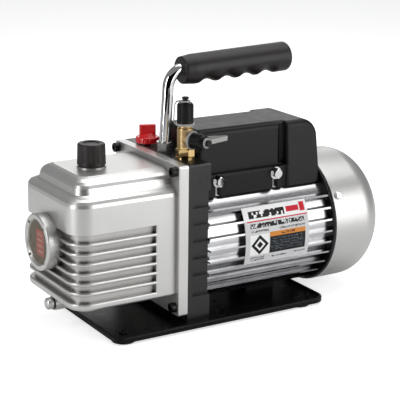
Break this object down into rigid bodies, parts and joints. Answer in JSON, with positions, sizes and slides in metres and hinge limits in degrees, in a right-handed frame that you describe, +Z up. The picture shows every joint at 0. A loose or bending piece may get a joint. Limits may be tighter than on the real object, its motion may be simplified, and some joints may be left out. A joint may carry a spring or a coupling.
{
  "type": "rotary vane vacuum pump",
  "caption": "Portable two-stage rotary vane vacuum pump: ribbed oil case with sight glass, finned motor with terminal box, round fan cover, carrying handle and footed base plate.",
  "frame": {"origin": "on the floor under the middle of the pump's length and width", "axes": "+X from the oil case along the shaft to the fan cover, +Z up, metres"},
  "size_m": [0.3384, 0.132, 0.2318],
  "materials": {
    "satin_black_paint": "satin black powder coat",
    "black_rubber": "matte",
    "zinc_steel": "zinc plated",
    "silver_paint": "metallic silver paint, satin",
    "seal_rubber": "smooth",
    "clear_glass": "clear",
    "level_red": "printed, satin",
    "black_plastic": "fine texture",
    "brass_fitting": "turned, polished collar",
    "clear_strap": "translucent, soft",
    "red_plastic": "glossy",
    "chrome_tube": "polished",
    "grip_rubber": "soft sheen",
    "pump_iron": "ground",
    "rotor_steel": "ground",
    "vane_composite": "ground",
    "spring_steel": "drawn wire",
    "spider_red": "moulded",
    "polished_aluminium": "polished, extruded",
    "lamination_steel": "stacked sheets",
    "enamelled_copper": "varnished winding",
    "bearing_steel": "ground",
    "label_print": "printed foil",
    "aluminium_can": "drawn can"
  },
  "bodies": {
    "pump_frame": {"base_plate": "satin_black_paint", "rubber_feet": "black_rubber", "base_fasteners": "zinc_steel", "oil_case": "silver_paint", "case_seal": "seal_rubber", "case_screws": "zinc_steel", "sight_glass_ring": "silver_paint", "sight_glass": "clear_glass", "level_plate": "level_red", "pump_support": "satin_black_paint", "inlet_fitting": "brass_fitting", "top_cap_tether": "clear_strap", "side_cap_tether": "clear_strap", "handle_tube": "chrome_tube", "handle_nut": "zinc_steel", "handle_grip": "grip_rubber", "stage_mount_plate": "pump_iron", "low_stage_body": "pump_iron", "stage_middle_plate": "pump_iron", "high_stage_body": "pump_iron", "stage_end_plate": "pump_iron", "stage_bolts": "zinc_steel", "exhaust_valve_leaf": "spring_steel", "valve_stop": "rotor_steel", "shaft_seal": "seal_rubber", "motor_housing": "polished_aluminium", "stator_core": "lamination_steel", "stator_windings": "enamelled_copper", "front_end_plate": "aluminium_can", "motor_bearings": "bearing_steel", "rear_end_bell": "satin_black_paint", "tie_bolts": "zinc_steel", "fan_cover": "silver_paint", "fan_cover_screws": "zinc_steel", "rating_plate": "label_print", "terminal_box": "black_plastic", "box_screws": "zinc_steel", "capacitor": "aluminium_can", "power_inlet": "black_plastic", "switch_frame": "black_plastic"},
    "drive_shaft": {"pump_rotor": "rotor_steel", "coupling_hubs": "aluminium_can", "coupling_spider": "spider_red", "motor_shaft": "rotor_steel", "rotor_core": "lamination_steel", "cooling_fan": "black_plastic", "vane_springs": "spring_steel"},
    "low_vane_a": {"low_stage_vane_a": "vane_composite"},
    "low_vane_b": {"low_stage_vane_b": "vane_composite"},
    "high_vane_a": {"high_stage_vane_a": "vane_composite"},
    "high_vane_b": {"high_stage_vane_b": "vane_composite"},
    "fill_cap": {"oil_fill_cap": "black_plastic", "oil_fill_seal": "seal_rubber"},
    "drain": {"drain_plug": "zinc_steel", "drain_seal": "seal_rubber"},
    "top_cap": {"top_port_cap": "black_plastic"},
    "side_cap": {"side_port_cap": "black_plastic"},
    "ballast": {"ballast_knob": "red_plastic", "ballast_poppet": "seal_rubber"},
    "rocker": {"switch_rocker": "black_plastic"}
  },
  "joints": [
    {"name": "shaft_spin", "type": "hinge", "parent": "pump_frame", "child": "drive_shaft", "pos_m": [0, 0, 0.066], "axis": [1, 0, 0], "continuous": true},
    {"name": "low_vane_a_slide", "type": "slide", "parent": "drive_shaft", "child": "low_vane_a", "axis": [0, -1, 0], "range_m": [0, 0.0027]},
    {"name": "low_vane_b_slide", "type": "slide", "parent": "drive_shaft", "child": "low_vane_b", "axis": [0, 1, 0], "range_m": [0, 0.0027]},
    {"name": "high_vane_a_slide", "type": "slide", "parent": "drive_shaft", "child": "high_vane_a", "axis": [0, -1, 0], "range_m": [0, 0.0027]},
    {"name": "high_vane_b_slide", "type": "slide", "parent": "drive_shaft", "child": "high_vane_b", "axis": [0, 1, 0], "range_m": [0, 0.0027]},
    {"name": "fill_cap_turn", "type": "hinge", "parent": "pump_frame", "child": "fill_cap", "pos_m": [-0.11675, 0, 0.14], "axis": [0, 0, 1], "range_deg": [0, 720]},
    {"name": "drain_turn", "type": "hinge", "parent": "pump_frame", "child": "drain", "pos_m": [-0.15875, 0, 0.0236], "axis": [-1, 0, 0], "range_deg": [0, 1080]},
    {"name": "top_cap_turn", "type": "hinge", "parent": "pump_frame", "child": "top_cap", "pos_m": [-0.04205, -0.029, 0.17], "axis": [0, 0, 1], "range_deg": [0, 1080]},
    {"name": "side_cap_turn", "type": "hinge", "parent": "pump_frame", "child": "side_cap", "pos_m": [-0.04205, -0.029, 0.1607], "axis": [0.342, -0.9397, 0], "range_deg": [0, 1080]},
    {"name": "ballast_turn", "type": "hinge", "parent": "pump_frame", "child": "ballast", "pos_m": [-0.04475, 0.032, 0.145], "axis": [0, 0, 1], "range_deg": [0, 360]},
    {"name": "switch_rocker_tilt", "type": "hinge", "parent": "pump_frame", "child": "rocker", "pos_m": [0.03225, 0.03, 0.146], "axis": [0, 0, 1], "range_deg": [0, 16]}
  ]
}
